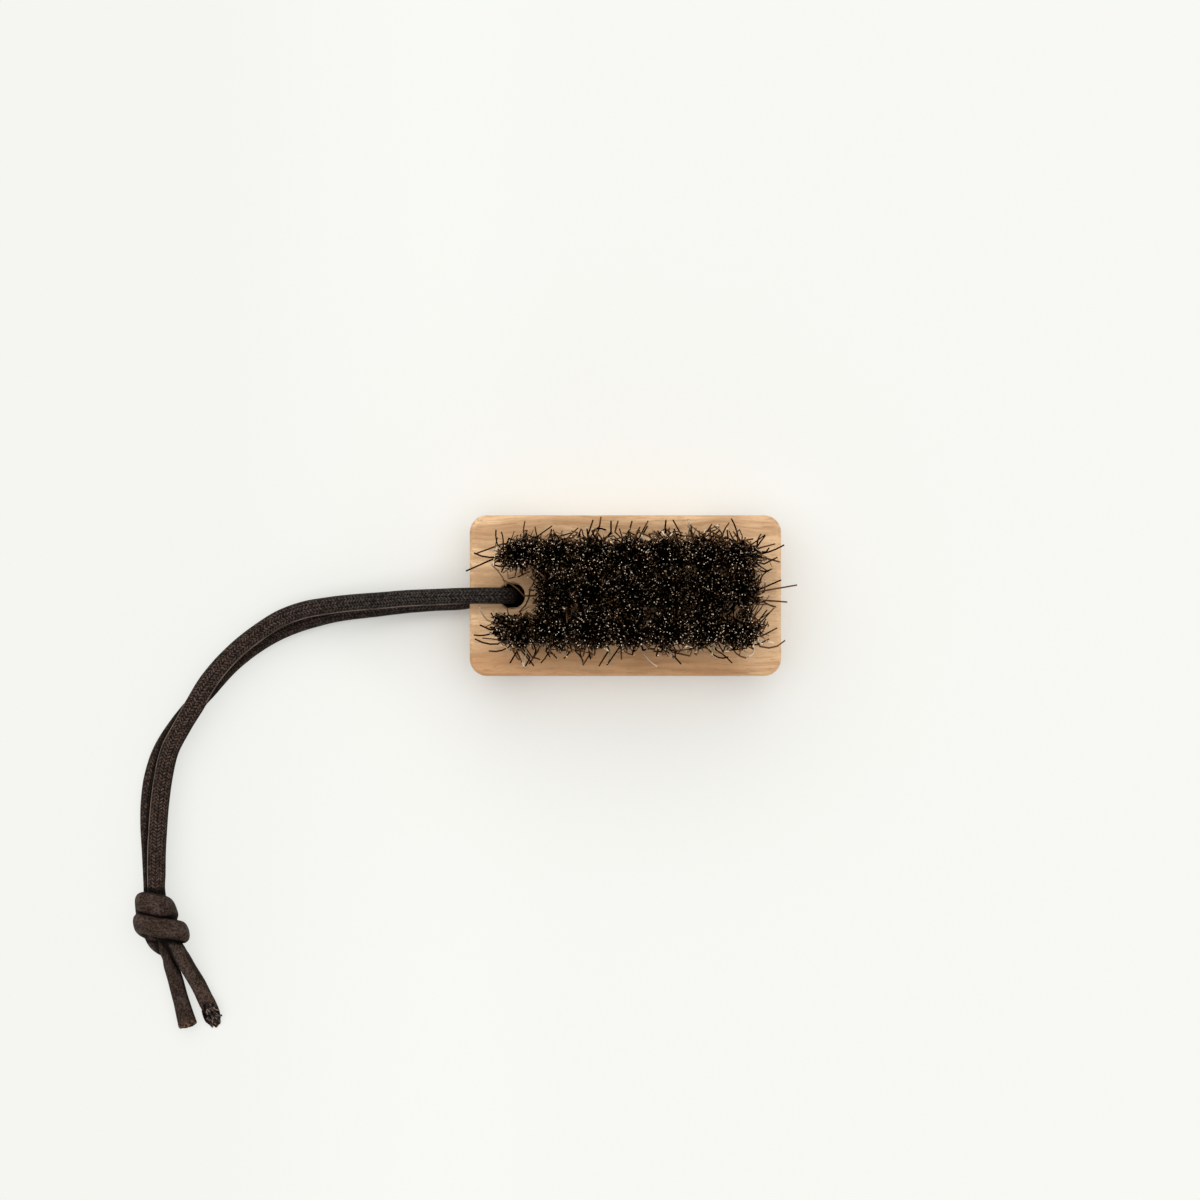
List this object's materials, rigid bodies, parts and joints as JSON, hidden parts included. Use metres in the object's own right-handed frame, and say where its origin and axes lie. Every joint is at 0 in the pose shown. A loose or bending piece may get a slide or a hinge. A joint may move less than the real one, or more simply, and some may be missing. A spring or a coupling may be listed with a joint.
{
  "type": "horsehair brush",
  "caption": "Small beech block brush with rows of short dark horsehair tufts and a doubled, knotted waxed cord loop through a hang hole, lying on its back.",
  "frame": {"origin": "middle of the flat land of the back, on the surface that the brush lies on", "axes": "+X along the block away from the hang hole, +Y across it, +Z from the back to the bristle tips"},
  "size_m": [0.1309, 0.1037, 0.0274],
  "materials": {
    "beech": "oiled, fine grain",
    "horsehair": "stiff natural hair, slight gloss",
    "anchor_wire": "flat drawn wire",
    "waxed_cord": "waxed braid, matt"
  },
  "bodies": {
    "brush": {"block": "beech", "tuft_a1": "horsehair", "tuft_a2": "horsehair", "tuft_a3": "horsehair", "tuft_a4": "horsehair", "tuft_a5": "horsehair", "tuft_a6": "horsehair", "tuft_a7": "horsehair", "tuft_b2": "horsehair", "tuft_b3": "horsehair", "tuft_b4": "horsehair", "tuft_b5": "horsehair", "tuft_b6": "horsehair", "tuft_b7": "horsehair", "tuft_c1": "horsehair", "tuft_c2": "horsehair", "tuft_c3": "horsehair", "tuft_c4": "horsehair", "tuft_c5": "horsehair", "tuft_c6": "horsehair", "tuft_c7": "horsehair", "anchor_a1": "anchor_wire", "anchor_a2": "anchor_wire", "anchor_a3": "anchor_wire", "anchor_a4": "anchor_wire", "anchor_a5": "anchor_wire", "anchor_a6": "anchor_wire", "anchor_a7": "anchor_wire", "anchor_b2": "anchor_wire", "anchor_b3": "anchor_wire", "anchor_b4": "anchor_wire", "anchor_b5": "anchor_wire", "anchor_b6": "anchor_wire", "anchor_b7": "anchor_wire", "anchor_c1": "anchor_wire", "anchor_c2": "anchor_wire", "anchor_c3": "anchor_wire", "anchor_c4": "anchor_wire", "anchor_c5": "anchor_wire", "anchor_c6": "anchor_wire", "anchor_c7": "anchor_wire"},
    "cord_loop": {"cord_upper_strand": "waxed_cord", "cord_lower_strand": "waxed_cord", "cord_knot": "waxed_cord", "cord_tail_left": "waxed_cord", "cord_tail_right": "waxed_cord"}
  },
  "joints": [
    {"name": "loop_swing", "type": "hinge", "parent": "brush", "child": "cord_loop", "pos_m": [-0.0225, 0, 0], "axis": [0, 0, 1], "range_deg": [-25, 25]}
  ]
}
